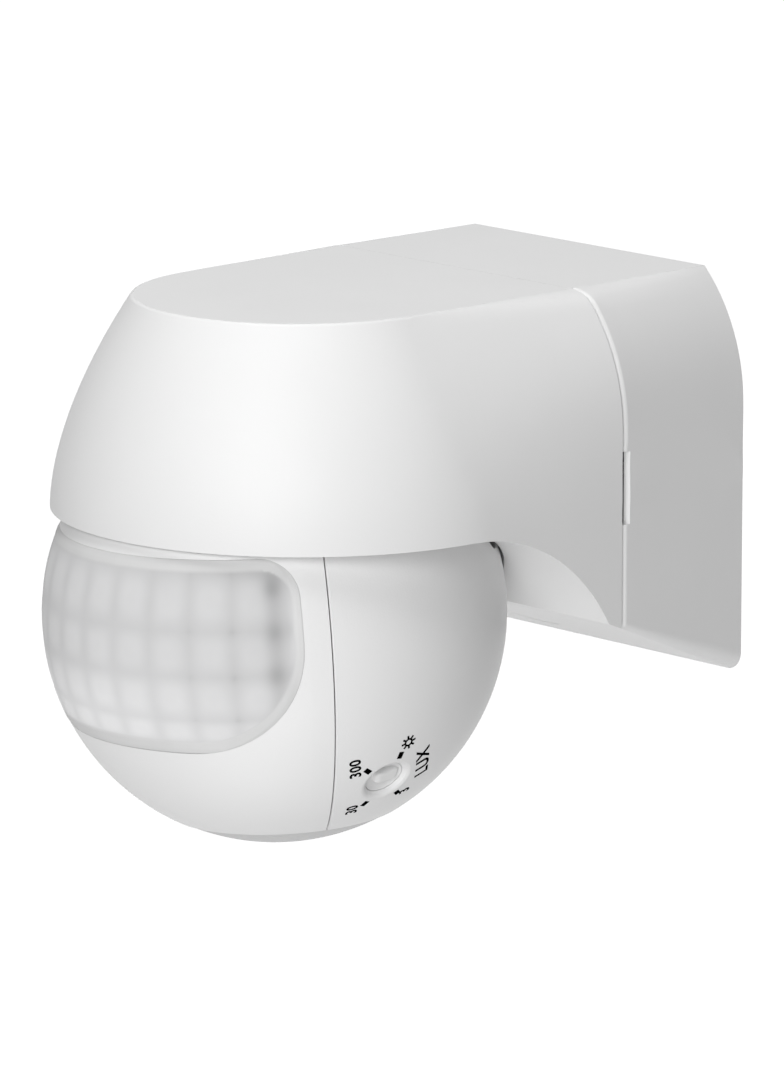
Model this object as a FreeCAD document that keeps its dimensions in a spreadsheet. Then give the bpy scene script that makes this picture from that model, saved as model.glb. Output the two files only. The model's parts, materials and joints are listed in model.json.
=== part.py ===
import FreeCAD, Part
import math
import os
import Sketcher

# Motion sensor for a wall: a hooded two-part housing with a ball head below the hood.
# Row frame, mm: X to the right when facing the sensor, Y into the wall, Z up.
# The origin is the centre of the two wall-screw holes, on the back face.

os.makedirs("parts", exist_ok=True)
doc = FreeCAD.newDocument("motion_sensor")
dims = doc.addObject("Spreadsheet::Sheet", "dims")

CELLS = [
    ("skin_inset", 0.0, "inset of the housing's outside"),
    ("wall", 2.0, "housing wall thickness"),
    ("lip_inset", 2.3, "inset of the outside of the base's lip"),
    ("lip_bore_inset", 3.5, "inset of the inside of the base's lip"),
    ("wall_half", 32.45, "half the width at the wall"),
    ("flank_start", 10.4, "level where the flanks begin to lean inwards"),
    ("flank_radius", 27.0, "radius of the flanks above that level"),
    ("flank_flare", 2.75, "spread of the flanks between the wall and the seam"),
    ("rim_level", -1.3, "level of the hood's lower rim"),
    ("dome_rise", 31.06, "hood height above the rim"),
    ("rim_radius", 36.9, "front radius of the hood at the rim"),
    ("rim_reach", 57.6, "distance from the wall to the rim's centre"),
    ("crown_radius", 24.35, "front radius of the flat top"),
    ("crown_reach", 58.4, "distance from the wall to the top's centre"),
    ("bulge", 1.7, "power of the hood's front curve"),
    ("base_drop", 30.0, "depth of the back plate below the origin"),
    ("base_slope", 22.0, "rise of the underside towards the front, degrees"),
    ("arch_radius", 34.0, "radius of the hollow below the hood"),
    ("arch_reach", 59.5, "distance from the wall to that hollow's axis"),
    ("arch_level", -35.3, "level of that hollow's axis"),
    ("seam_reach", 27.6, "distance from the wall to the housing seam"),
    ("seam_gap", 0.2, "width of the housing seam"),
    ("seam_round", 0.9, "radius along the base's side of the seam"),
    ("notch_level", -3.6, "lower end of the opener notches in the seam"),
    ("notch_height", 10.8, "height of the opener notches"),
    ("back_wall", 2.5, "thickness of the back plate"),
    ("ball_reach", 63.5, "distance from the wall to the ball's centre"),
    ("ball_level", -16.4, "level of the ball's centre"),
    ("ball_radius", 33.65, "outer radius of the ball head"),
    ("ball_wall", 2.0, "wall thickness of the ball head"),
    ("ball_gap", 0.42, "clearance round the ball in the hood"),
    ("collar_wall", 1.5, "wall of the hood's collar round the ball"),
    ("ball_seam", 3.26, "distance of the ball's seam behind its centre"),
    ("lens_low", -13.45, "lower edge of the lens window below the ball's centre"),
    ("lens_high", 14.6, "upper edge of the lens window"),
    ("lens_back", -0.75, "rear end of the lens window"),
    ("lens_low_corner", 16.0, "radius of the window's lower corners"),
    ("lens_high_corner", 5.5, "radius of the window's upper corners"),
    ("lens_wall", 1.0, "thickness of the lens"),
    ("cap_radius", 17.0, "radius of the cap under the ball"),
    ("dish_radius", 5.0, "radius of the hollow that a setting knob sits in"),
    ("dish_reach", 3.15, "height of that hollow's centre above the ball's skin"),
    ("knob_radius", 2.9, "radius of a setting knob"),
    ("screw_spacing", 42.0, "distance between the wall-screw holes"),
    ("screw_hole_radius", 2.25, "radius of a wall-screw hole"),
    ("grommet_level", 15.0, "level of the cable grommet"),
    ("grommet_bore", 3.5, "radius of the cable bore"),
    ("plate_level", 20.4, "underside of the swivel bearing plate"),
    ("plate_wall", 2.0, "thickness of the bearing plate"),
    ("stem_radius", 4.5, "radius of the swivel stem"),
    ("board_wall", 1.6, "thickness of a circuit board"),
]
for row, (alias, value, meaning) in enumerate(CELLS, start=1):
    dims.set(f"A{row}", meaning)
    dims.set(f"B{row}", str(value))
    dims.setAlias(f"B{row}", alias)
doc.recompute()
SIZE = {alias: value for alias, value, meaning in CELLS}

PAN_AT_REST = -34.0
TILT_AT_REST = 3.2
KNOB_LONGITUDE = 115.4
KNOB_LATITUDE = -38.1
KNOB_POINTING = 10.0
GRIP_LENGTH = 4.35
GRIP_WIDTH = 2.3
GRIP_RISE = 2.3
GRIP_SHIFT = 0.55
SHOULDER_START = 0.95
CROWN_FLARE = 0.04
POLE_PITCH = 8.0
PLATE_SCREW_REACH = 13.5
PLATE_CORNERS = (90, 210, 330)
ALONG_X = FreeCAD.Rotation(FreeCAD.Vector(0, 1, 0), 90)
TOWARDS_FRONT = FreeCAD.Rotation(FreeCAD.Vector(1, 0, 0), 90)
TOWARDS_WALL = FreeCAD.Rotation(FreeCAD.Vector(1, 0, 0), -90)
nodes = []


def place(part, spot, turn=None):
    """Turn a part, then bind its position to three formulas."""
    part.Placement = FreeCAD.Placement(FreeCAD.Vector(0, 0, 0), turn or FreeCAD.Rotation())
    for axis, formula in zip("xyz", spot):
        part.setExpression(f"Placement.Base.{axis}", str(formula))


def solid(kind, name, spot, turn=None, **sizes):
    """Add a primitive whose sizes and position are formulas."""
    part = doc.addObject(f"Part::{kind}", name)
    for key, formula in sizes.items():
        part.setExpression(key, str(formula))
    place(part, spot, turn)
    return part


def box(name, low, size):
    length, width, height = size
    return solid("Box", name, low, Length=length, Width=width, Height=height)


def rod(name, spot, radius, height, turn=None):
    return solid("Cylinder", name, spot, turn, Radius=radius, Height=height)


def ball(name, radius):
    """A sphere about the head's own centre."""
    return solid("Sphere", name, (0, 0, 0), Radius=radius)


def fuse(name, parts):
    joined = doc.addObject("Part::MultiFuse", name)
    joined.Shapes = parts
    return joined


def cut(name, body, tools):
    """Take one or more tools away from a body."""
    result = doc.addObject("Part::Cut", name)
    result.Base = body
    result.Tool = tools[0] if len(tools) == 1 else fuse(f"{name}_tools", tools)
    return result


def common(name, first, second):
    result = doc.addObject("Part::Common", name)
    result.Base = first
    result.Tool = second
    return result


def group(name, parts):
    """Several loose solids kept as one node."""
    result = doc.addObject("Part::Compound", name)
    result.Links = parts
    return result


def node(part, label):
    part.Label = label
    nodes.append(part)
    return part


def slot_prism(name, corners):
    """An upright prism on a fully fixed outline, as tall as the opener notch."""
    sketch = doc.addObject("Sketcher::SketchObject", f"{name}_outline")
    count = len(corners)
    points = [FreeCAD.Vector(x, y, 0) for x, y in corners]
    for index in range(count):
        sketch.addGeometry(Part.LineSegment(points[index], points[(index + 1) % count]), False)
    for index in range(count):
        sketch.addConstraint(Sketcher.Constraint("Coincident", index, 2, (index + 1) % count, 1))
    for index, point in enumerate(points):
        sketch.addConstraint(Sketcher.Constraint("DistanceX", -1, 1, index, 1, point.x))
        sketch.addConstraint(Sketcher.Constraint("DistanceY", -1, 1, index, 1, point.y))
    sketch.setExpression("Placement.Base.z", "dims.notch_level")
    prism = doc.addObject("Part::Extrusion", name)
    prism.Base = sketch
    prism.DirMode = "Custom"
    prism.Dir = FreeCAD.Vector(0, 0, 1)
    prism.setExpression("LengthFwd", "dims.notch_height")
    prism.Solid = True
    return prism


# ---------------------------------------------------------------- housing form

def dome_section(name, share, inset_cell):
    """Sketch the housing outline at a share of the dome's rise, set in by a cell.

    Each flank runs straight from the wall to the seam, then on to meet the round front tangentially.
    """
    inset = SIZE[inset_cell]
    level = SIZE["rim_level"] + SIZE["dome_rise"] * share
    swell = share ** SIZE["bulge"]
    lean = max(0.0, level - SIZE["flank_start"])
    into_shoulder = max(0.0, (share - SHOULDER_START) / (1 - SHOULDER_START))
    fade = CROWN_FLARE + (1 - CROWN_FLARE) * math.sqrt(max(0.0, 1 - into_shoulder ** 2))
    radius = SIZE["rim_radius"] - (SIZE["rim_radius"] - SIZE["crown_radius"]) * swell - inset
    reach = SIZE["rim_reach"] + (SIZE["crown_reach"] - SIZE["rim_reach"]) * swell
    half = SIZE["wall_half"] - SIZE["flank_radius"] - inset
    half += math.sqrt(SIZE["flank_radius"] ** 2 - lean ** 2)
    front = FreeCAD.Vector(0, -reach, 0)
    seam_half = half + SIZE["flank_flare"] * fade
    seam_ahead = reach - SIZE["seam_reach"]
    turn = math.atan2(seam_ahead, seam_half) - math.acos(radius / math.hypot(seam_half, seam_ahead))
    meeting = front + FreeCAD.Vector(math.cos(turn), math.sin(turn), 0) * radius
    right = [
        FreeCAD.Vector(half, 0, 0), FreeCAD.Vector(seam_half, -SIZE["seam_reach"], 0), meeting]
    left = [FreeCAD.Vector(-point.x, point.y, 0) for point in right]
    upward = FreeCAD.Vector(0, 0, 1)
    sketch = doc.addObject("Sketcher::SketchObject", name)
    sketch.addGeometry([
        Part.LineSegment(left[0], right[0]),
        Part.LineSegment(right[0], right[1]),
        Part.LineSegment(right[1], right[2]),
        Part.ArcOfCircle(Part.Circle(front, upward, radius), math.pi - turn, 2 * math.pi + turn),
        Part.LineSegment(left[2], left[1]),
        Part.LineSegment(left[1], left[0]),
    ], False)
    sketch.addConstraint([
        Sketcher.Constraint("Coincident", 0, 2, 1, 1),
        Sketcher.Constraint("Coincident", 1, 2, 2, 1),
        Sketcher.Constraint("Tangent", 2, 2, 3, 2),
        Sketcher.Constraint("Tangent", 3, 1, 4, 1),
        Sketcher.Constraint("Coincident", 4, 2, 5, 1),
        Sketcher.Constraint("Coincident", 5, 2, 0, 1),
        Sketcher.Constraint("Symmetric", 0, 1, 0, 2, -2),
        Sketcher.Constraint("Symmetric", 4, 2, 1, 2, -2),
        Sketcher.Constraint("PointOnObject", 0, 1, -1),
        Sketcher.Constraint("PointOnObject", 3, 3, -2),
        Sketcher.Constraint("DistanceX", 0, 1, 0, 2, 2 * half),
        Sketcher.Constraint("DistanceY", 3, 3, -1, 1, reach),
        Sketcher.Constraint("Radius", 3, radius),
        Sketcher.Constraint("DistanceX", 0, 2, 1, 2, seam_half - half),
        Sketcher.Constraint("DistanceY", 1, 2, -1, 1, SIZE["seam_reach"]),
    ])
    rise = f"max(0; dims.rim_level + dims.dome_rise * {share} - dims.flank_start)"
    flank_curve = f"sqrt(dims.flank_radius ^ 2 - ({rise}) ^ 2) - dims.flank_radius"
    spread = f"{share} ^ dims.bulge"
    into = f"max(0; ({share} - {SHOULDER_START}) / {1 - SHOULDER_START})"
    faded = f"({CROWN_FLARE} + {1 - CROWN_FLARE} * sqrt(max(0; 1 - {into} ^ 2)))"
    driving = {
        10: f"2 * (dims.wall_half + {flank_curve} - dims.{inset_cell})",
        11: f"dims.rim_reach + (dims.crown_reach - dims.rim_reach) * {spread}",
        12: "dims.rim_radius - (dims.rim_radius - dims.crown_radius)"
            f" * {spread} - dims.{inset_cell}",
        13: f"dims.flank_flare * {faded}",
        14: "dims.seam_reach",
    }
    for number, formula in driving.items():
        sketch.setExpression(f"Constraints[{number}]", formula)
    sketch.setExpression(
        "Placement.Base.z", f"dims.rim_level + (dims.dome_rise - dims.{inset_cell}) * {share}")
    return sketch


def housing_form(name, inset_cell):
    """The housing's whole outline set in by a cell: dome above, prism below."""
    shares = [0.0, 0.14, 0.28, 0.42, 0.56, 0.70, 0.80, 0.88, 0.95, 0.98, 0.993, 1.0]
    sections = [
        dome_section(f"{name}_section_{index}", share, inset_cell)
        for index, share in enumerate(shares)
    ]
    dome = doc.addObject("Part::Loft", f"{name}_dome")
    dome.Sections = sections
    dome.Solid = True
    prism = doc.addObject("Part::Extrusion", f"{name}_prism")
    prism.Base = sections[0]
    prism.DirMode = "Custom"
    prism.Dir = FreeCAD.Vector(0, 0, -1)
    prism.LengthFwd = 32.0
    prism.Solid = True
    return fuse(name, [dome, prism])


def underside(name, inset_cell):
    """What is missing below the hood and below the slanted bottom."""
    inset = SIZE[inset_cell]
    arch = rod(
        f"{name}_arch", ("-60", "-dims.arch_reach", "dims.arch_level"),
        f"dims.arch_radius + dims.{inset_cell}", "120", ALONG_X)
    front = box(
        f"{name}_front", ("-60", "-dims.arch_reach - 60", "dims.rim_level - 60"),
        ("120", "60", f"60 + dims.{inset_cell}"))
    tilt = FreeCAD.Rotation(FreeCAD.Vector(1, 0, 0), -SIZE["base_slope"])
    corner = tilt.multVec(FreeCAD.Vector(-60, -50, -30 + inset))
    slab = solid(
        "Box", f"{name}_slab", (corner.x, corner.y, f"{corner.z} - dims.base_drop"), tilt,
        Length=120, Width=60, Height=30)
    return fuse(name, [arch, front, slab])


def rounded(name, body, radius, picked, front_radius=None):
    """Round the edges whose bounds pass a test, with another radius at their front ends."""
    doc.recompute()
    edges = []
    for number, edge in enumerate(body.Shape.Edges, start=1):
        if picked(edge.BoundBox):
            ends = (radius, front_radius or radius)
            starts_in_front = edge.Vertexes[0].Point.y < edge.Vertexes[-1].Point.y
            edges.append((number, *(ends[::-1] if starts_in_front else ends)))
    fillet = doc.addObject("Part::Fillet", name)
    fillet.Base = body
    fillet.Edges = edges
    return fillet


def bevelled(name, body, size, picked):
    """Bevel the edges whose bounds pass a test."""
    doc.recompute()
    chamfer = doc.addObject("Part::Chamfer", name)
    chamfer.Base = body
    chamfer.Edges = [
        (number, size, size)
        for number, edge in enumerate(body.Shape.Edges, start=1)
        if picked(edge.BoundBox)
    ]
    return chamfer


outer_form = cut(
    "outer_form", housing_form("outer", "skin_inset"), [underside("outer_below", "skin_inset")])
top_level = SIZE["rim_level"] + SIZE["dome_rise"]
inner_form = cut(
    "inner_form", housing_form("inner", "wall"),
    [underside("inner_below", "wall"),
     box("inner_behind", ("-60", "-dims.back_wall", "-60"), ("120", "20", "120"))])
lip_outer = cut(
    "lip_outer", housing_form("lip_outer_form", "lip_inset"),
    [underside("lip_outer_below", "lip_inset")])
lip_inner = cut(
    "lip_inner", housing_form("lip_inner_form", "lip_bore_inset"),
    [underside("lip_inner_below", "lip_bore_inset")])

ball_spot = ("0", "-dims.ball_reach", "dims.ball_level")

# --------------------------------------------------------------- base housing

base_zone = box(
    "base_zone", ("-60", "-dims.seam_reach + dims.seam_gap / 2", "-60"),
    ("120", "dims.seam_reach - dims.seam_gap / 2", "120"))
lip_zone = box("lip_zone", ("-60", "-dims.seam_reach - 2.6", "-60"), ("120", "5", "120"))
base_block = rounded(
    "base_block", common("base_form", outer_form, base_zone), 2.6,
    lambda b: b.ZMax < -15 and b.YLength > 25 and abs(b.XMin) > 30, 1.0)
soft_block = rounded(
    "soft_block", base_block, SIZE["seam_round"],
    lambda b: b.YMax < -SIZE["seam_reach"] + 0.2 and b.XLength < 12)
base_shell = cut("base_shell", soft_block, [inner_form])
base_lip = common("base_lip", cut("lip_ring", lip_outer, [lip_inner]), lip_zone)
lip_root = common(
    "lip_root", cut("root_ring", soft_block, [lip_inner]),
    box("root_zone", ("-60", "-dims.seam_reach + 0.6", "-60"), ("120", "2", "120")))
bosses = [base_shell, base_lip, lip_root]
base_holes = []
for side in (-1, 1):
    spot = (f"{side} * dims.screw_spacing / 2", "0", "0")
    bosses.append(rod(f"wall_boss_{side + 2}", spot, "5", "5", TOWARDS_FRONT))
    base_holes.append(rod(
        f"wall_hole_{side + 2}", (spot[0], "5", "0"), "dims.screw_hole_radius", "12", TOWARDS_FRONT))
    pillar = (f"{side} * 12.5", "0", "2.5")
    bosses.append(rod(f"clamp_pillar_{side + 2}", pillar, "2.8", "6", TOWARDS_FRONT))
    base_holes.append(rod(
        f"clamp_pilot_{side + 2}", (pillar[0], "-1.5", pillar[2]), "1.3", "6", TOWARDS_FRONT))
    notch_corners = [
        (29.0, -28.3), (38.0, -28.3), (38.0, -22.9), (34.6, -26.45), (34.5, -26.75),
        (32.2, -23.6), (29.0, -23.6),
    ]
    base_holes.append(slot_prism(f"notch_{side + 2}", [(side * x, y) for x, y in notch_corners]))
base_holes.append(rod(
    "grommet_hole", ("0", "5", "dims.grommet_level"), "6.5", "12", TOWARDS_FRONT))
base_holes.append(solid(
    "Sphere", "collar_clearance", ball_spot,
    Radius="dims.ball_radius + dims.ball_gap + dims.collar_wall + 0.4"))
bosses.append(box("block_seat", ("-14", "-3.6", "-16"), ("28", "2", "14")))
down = FreeCAD.Rotation(FreeCAD.Vector(1, 0, 0), -SIZE["base_slope"])
slope = math.radians(SIZE["base_slope"])
plug_y = -13.0
plug_z = -SIZE["base_drop"] - plug_y * math.tan(slope)
into = FreeCAD.Vector(0, math.sin(slope), math.cos(slope))


def plug_rod(name, depth, radius, height):
    """A cylinder square to the slanted underside, measured from its outer face."""
    shift = into * depth
    spot = ("0", f"{plug_y + shift.y}", f"-dims.base_drop + {SIZE['base_drop'] + plug_z + shift.z}")
    return rod(name, spot, radius, height, down)


base_holes.append(plug_rod("plug_hole", -3, "4.1", "10"))
base_holes.append(plug_rod("plug_recess", -3, "5.3", "3.85"))
base_body = cut("base_body", fuse("base_solid", bosses), base_holes)
node(base_body, "base_housing")

plug = fuse("plug_parts", [
    plug_rod("plug_head", 0.02, "5.2", "0.8"),
    plug_rod("plug_shank", 0.5, "4.0", "2.0"),
    plug_rod("plug_ridge", 2.2, "4.6", "0.9"),
])
node(cut("plug_body", plug, [plug_rod("plug_hollow", 1.2, "2.8", "4")]), "blanking_plug")

grommet = fuse("grommet_parts", [
    rod("grommet_sleeve", ("0", "-0.05", "dims.grommet_level"), "6.4", "3.7", TOWARDS_FRONT),
    rod("grommet_flange", ("0", "-2.6", "dims.grommet_level"), "8.2", "1.4", TOWARDS_FRONT),
])
grommet_body = cut("grommet_body", grommet, [rod(
    "grommet_hollow", ("0", "5", "dims.grommet_level"), "dims.grommet_bore", "20", TOWARDS_FRONT)])
node(grommet_body, "cable_grommet")

# ------------------------------------------------------------- terminal block

block_cuts = []
clamps = []
screws = []
blades = []
for pole in (-1, 0, 1):
    middle = pole * POLE_PITCH
    tag = pole + 2
    block_cuts.append(box(
        f"clamp_room_{tag}", (middle - 2.6, "-11.5", "-13.6"), ("5.2", "5.2", "9.2")))
    block_cuts.append(box(f"wire_way_{tag}", (middle - 1.8, "-10.8", "-5"), ("3.6", "3.8", "6")))
    block_cuts.append(rod(
        f"driver_way_{tag}", (middle, "-11", "-6.6"), "2.3", "9", TOWARDS_FRONT))
    block_cuts.append(box(f"blade_way_{tag}", (middle - 1.6, "-20", "-12.2"), ("3.2", "9", "1.8")))
    clamp = box(f"clamp_block_{tag}", (middle - 2.5, "-11.4", "-13.5"), ("5", "5", "9"))
    clamps.append(cut(f"clamp_{tag}", clamp, [
        rod(f"clamp_thread_{tag}", (middle, "-6", "-6.6"), "1.55", "8", TOWARDS_FRONT),
        box(f"clamp_wire_{tag}", (middle - 1.5, "-10.2", "-7.4"), ("3", "2.9", "4")),
        box(f"clamp_slot_{tag}", (middle - 1.5, "-13", "-12.1"), ("3", "5", "1.6")),
    ]))
    head = cut(
        f"pole_screw_cut_{tag}",
        rod(f"pole_screw_head_{tag}", (middle, "-12", "-6.6"), "2.1", "1.7", TOWARDS_FRONT),
        [box(f"pole_screw_slot_{tag}", (middle - 3, "-14.2", "-6.9"), ("6", "1.3", "0.6"))])
    screws.append(fuse(f"pole_screw_{tag}", [
        head, rod(f"pole_screw_shank_{tag}", (middle, "-9.4", "-6.6"), "1.45", "3", TOWARDS_FRONT)]))
    blades.append(box(
        f"blade_{tag}", (middle - 1.2, "-dims.seam_reach + 1.2", "-11.6"), ("2.4", "14", "0.6")))
block = fuse("block_parts", [
    box("block_body", ("-13", "-16.5", "-15"), ("26", "12.85", "12")),
    box("block_foot", ("-13", "-5.2", "-15"), ("26", "1.55", "12")),
])
node(cut("terminal_body", block, block_cuts), "terminal_block")
node(group("clamp_group", clamps), "terminal_clamps")
node(group("pole_screw_group", screws), "terminal_screws")

strap = fuse("strap_parts", [
    box("strap_bar", ("-15.5", "-7.6", "0"), ("31", "1.5", "5")),
    box("strap_pad", ("-5", "-6.3", "0.4"), ("10", "1.8", "4.2")),
])
strap_cuts = [
    rod(f"strap_hole_{side + 2}", (side * 12.5, "-4", "2.5"), "1.6", "6", TOWARDS_FRONT)
    for side in (-1, 1)
]
node(cut("strap_body", strap, strap_cuts), "cable_clamp")


def pan_screw(name, spot, shank, head, length, turn):
    """A slotted screw whose head starts at a spot and whose shank runs back."""
    axis = turn.multVec(FreeCAD.Vector(0, 0, 1))
    slot_corner = turn.multVec(FreeCAD.Vector(-head * 0.65, -0.25, 0.9))
    back = [f"{value} - {length * part}" for value, part in zip(spot, axis)]
    slot_spot = [f"{value} + {part}" for value, part in zip(spot, slot_corner)]
    slot = solid("Box", f"{name}_slot", slot_spot, turn, Length=head * 1.3, Width=0.5, Height=2)
    return cut(name, fuse(f"{name}_parts", [
        rod(f"{name}_shank", back, shank, length + 0.1, turn),
        rod(f"{name}_head", spot, head, 1.5, turn),
    ]), [slot])


strap_screws = [
    pan_screw(
        f"strap_screw_{side + 2}", (side * 12.5, "-7.65", "2.5"), 1.2, 2.4, 5.5, TOWARDS_FRONT)
    for side in (-1, 1)
]
node(group("strap_screw_group", strap_screws), "cable_clamp_screws")

# --------------------------------------------------------------------- hood

hood_zone = fuse("hood_zone", [
    box("hood_room_zone", ("-60", "-dims.seam_reach - dims.seam_gap / 2 - 90", "-60"),
        ("120", "90", "120")),
    box("roof_zone", ("-60", "-dims.seam_reach - 60", "dims.rim_level + dims.dome_rise - 1"),
        ("120", "60 + dims.seam_gap / 2 - 0.06", "10")),
])
collar_ball = solid(
    "Sphere", "collar_ball", ball_spot, Radius="dims.ball_radius + dims.ball_gap + dims.collar_wall")
collar = common(
    "collar", collar_ball, box("collar_zone", ("-60", "-120", "-60"), ("120", "120", "62.5")))
hood_room = cut("hood_room", inner_form, [collar])
socket = solid("Sphere", "socket", ball_spot, Radius="dims.ball_radius + dims.ball_gap")
hood_adds = []
hood_holes = []


def plate_corner(corner, level):
    """Position of a bearing-plate screw at an angle round the pan axis."""
    along = PLATE_SCREW_REACH * math.cos(math.radians(corner))
    across = PLATE_SCREW_REACH * math.sin(math.radians(corner))
    return (along, f"-dims.ball_reach + {across}", f"dims.plate_level + {level}")


for corner in PLATE_CORNERS:
    spot = plate_corner(corner, "dims.plate_wall + 0.02")
    hood_adds.append(rod(f"roof_post_{corner}", spot, "3.2", "6.4"))
    hood_holes.append(rod(f"roof_pilot_{corner}", spot, "1.3", "4.5"))
for side in (-1, 1):
    low_x = "23.5" if side > 0 else "-37.5"
    shelf_x = "23.5" if side > 0 else "-30"
    hood_adds.append(box(
        f"board_shelf_{side + 2}", (shelf_x, "-34", "-9"), ("6.5", "35.05 - dims.seam_reach", "8")))
    wing = box(f"wing_{side + 2}", (low_x, "-37", "-9"), ("14", "6.6", "8"))
    hood_adds.append(common(f"board_wing_{side + 2}", wing, outer_form))
    hood_holes.append(rod(
        f"board_pilot_{side + 2}", (side * 26, "-20", "-5"), "1.1", "13", TOWARDS_FRONT))
hood_block = rounded(
    "hood_block", common("hood_form", outer_form, hood_zone), 0.6,
    lambda b: b.ZMin > top_level - 0.1 and b.YMin < -SIZE["seam_reach"] - 1)
hood_shell = cut("hood_shell", hood_block, [hood_room])
hood_body = cut("hood_body", fuse("hood_solid", [hood_shell] + hood_adds), hood_holes + [socket])
node(hood_body, "hood")

# ------------------------------------------------------------- swivel bearing

plate = rod("plate_disc", ("0", "-dims.ball_reach", "dims.plate_level"), "17", "dims.plate_wall")
plate_cuts = [rod("plate_bore", ("0", "-dims.ball_reach", "dims.plate_level - 1"), "6.06", "5")]
plate_screws = []
facing_down = FreeCAD.Rotation(FreeCAD.Vector(1, 0, 0), 180)
for corner in PLATE_CORNERS:
    plate_cuts.append(rod(f"plate_hole_{corner}", plate_corner(corner, -1), "1.6", "5"))
    plate_screws.append(pan_screw(
        f"plate_screw_{corner}", plate_corner(corner, -0.03), 1.2, 2.5, 5.5, facing_down))
node(cut("plate_body", plate, plate_cuts), "bearing_plate")
node(group("plate_screw_group", plate_screws), "bearing_screws")

cup_outer = solid("Sphere", "cup_outer", ball_spot, Radius="dims.ball_radius + 2.35")
cup_inner = solid("Sphere", "cup_inner", ball_spot, Radius="dims.ball_radius + 0.35")
cup_zone = box(
    "cup_zone", ("-40", "-dims.ball_reach - 40", "dims.ball_level + 28.6"), ("80", "80", "20"))
cup_neck = rod(
    "cup_neck", ("0", "-dims.ball_reach", "dims.ball_level + 30"), "9",
    "dims.plate_level - dims.ball_level - 30.35")
cup_spigot = rod(
    "cup_spigot", ("0", "-dims.ball_reach", "dims.plate_level - 2"), "6", "dims.plate_wall + 2.3")
cup_bore = rod(
    "cup_bore", ("0", "-dims.ball_reach", "dims.ball_level + 20"), "dims.stem_radius + 0.1", "30")
cup = fuse("cup_parts", [common("cup_cap", cup_outer, cup_zone), cup_neck, cup_spigot])
node(cut("cup_body", cup, [cup_inner, cup_bore]), "swivel_cup")

dish_outer = solid(
    "Sphere", "dish_outer", ball_spot, Radius="dims.ball_radius - dims.ball_wall - 0.4")
dish_inner = solid(
    "Sphere", "dish_inner", ball_spot, Radius="dims.ball_radius - dims.ball_wall - 2.2")
dish_zone = rod("dish_zone", ("0", "-dims.ball_reach", "dims.ball_level + 22"), "11", "20")
dish_ring = cut("dish_ring", common("dish_cap", dish_outer, dish_zone), [dish_inner])
stem_top = "dims.plate_level + dims.plate_wall + 4"
stem = rod(
    "stem", ("0", "-dims.ball_reach", "dims.ball_level + 29.6"),
    "dims.stem_radius", f"{stem_top} - dims.ball_level - 29.6")
stem_bore = rod("stem_bore", ("0", "-dims.ball_reach", "dims.ball_level + 20"), "3", "30")
node(cut("dish_body", fuse("dish_parts", [dish_ring, stem]), [stem_bore]), "ball_retainer")
washer_level = "dims.plate_level + dims.plate_wall + 0.32"
washer = rod("washer_disc", ("0", "-dims.ball_reach", washer_level), "8.5", "0.6")
node(cut("washer_body", washer, [rod(
    "washer_hole", ("0", "-dims.ball_reach", f"{washer_level} - 1"), "dims.stem_radius + 0.1", "3")]),
    "spring_washer")
nut_level = f"{washer_level} + 0.62"
nut = solid("Prism", "nut_prism", ("0", "-dims.ball_reach", nut_level), Circumradius=7.6, Height=2.6)
nut.Polygon = 6
node(cut("nut_body", nut, [rod(
    "nut_hole", ("0", "-dims.ball_reach", f"{nut_level} - 1"), "dims.stem_radius + 0.05", "5")]),
    "retaining_nut")

# ---------------------------------------------------------------- power board

board_back = "-dims.seam_reach + 1.1"
board = box("board_panel", ("-28", board_back, "-12"), ("56", "dims.board_wall", "32"))
board_cuts = [
    rod(f"board_hole_{side + 2}", (side * 26, "-20", "-5"), "1.3", "12", TOWARDS_FRONT)
    for side in (-1, 1)
]
for side in (-1, 1):
    corner_x = "25" if side > 0 else "-35"
    board_cuts.append(box(f"board_corner_{side + 2}", (corner_x, "-30", "10"), ("10", "10", "20")))
for pole in (-1, 0, 1):
    board_cuts.append(box(
        f"board_slot_{pole + 2}", (pole * POLE_PITCH - 1.3, "-30", "-11.7"), ("2.6", "10", "0.8")))
board_cuts.append(rod("board_lead_way", ("0", "-20", "16"), "3.2", "12", TOWARDS_FRONT))
node(cut("board_body", board, board_cuts), "power_board")
board_screws = [
    pan_screw(
        f"board_screw_{side + 2}", (side * 26, f"{board_back} + dims.board_wall + 0.03", "-5"),
        1.0, 2.1, 6.0, TOWARDS_WALL)
    for side in (-1, 1)
]
node(group("board_screw_group", board_screws), "power_board_screws")
face = f"{board_back} + dims.board_wall + 0.03"
front_face = f"{board_back} - 0.03"
relay = box("relay_case", ("-22.5", face, "7"), ("19", "14", "12.5"))
node(rounded("relay_body", relay, 0.8, lambda b: b.YMin > -25 and b.YLength < 1), "relay")
node(rounded(
    "film_body", box("film_case", ("5.5", face, "8"), ("18", "8", "11")), 1.0,
    lambda b: b.YMin > -25 and b.YLength < 1), "film_capacitor")
can = rod("can_shell", ("17", front_face, "11"), "4", "10", TOWARDS_FRONT)
node(cut("can_body", can, [solid(
    "Torus", "can_bead", ("17", f"{front_face} - 2", "11"), TOWARDS_FRONT, Radius1=4.3, Radius2=0.6)]),
    "electrolytic_capacitor")
node(fuse("fuse_parts", [
    rod("fuse_body", ("-20", front_face, "12"), "3.2", "5", TOWARDS_FRONT),
    rod("fuse_button", ("-20", f"{front_face} - 5", "12"), "1.2", "0.8", TOWARDS_FRONT),
]), "fuse")
node(rod("varistor_disc", ("-11", front_face, "13.5"), "4", "3", TOWARDS_FRONT), "varistor")
socket_case = box("lead_case", ("-5", f"{front_face} - 4", "5"), ("10", "4", "4.6"))
node(cut("lead_body", socket_case, [box(
    "lead_mouth", ("-4", f"{front_face} - 5", "6"), ("8", "3.5", "2.6"))]), "lead_connector")
node(group("blade_group", blades), "plug_blades")

# ------------------------------------------------------------------ ball head

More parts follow.
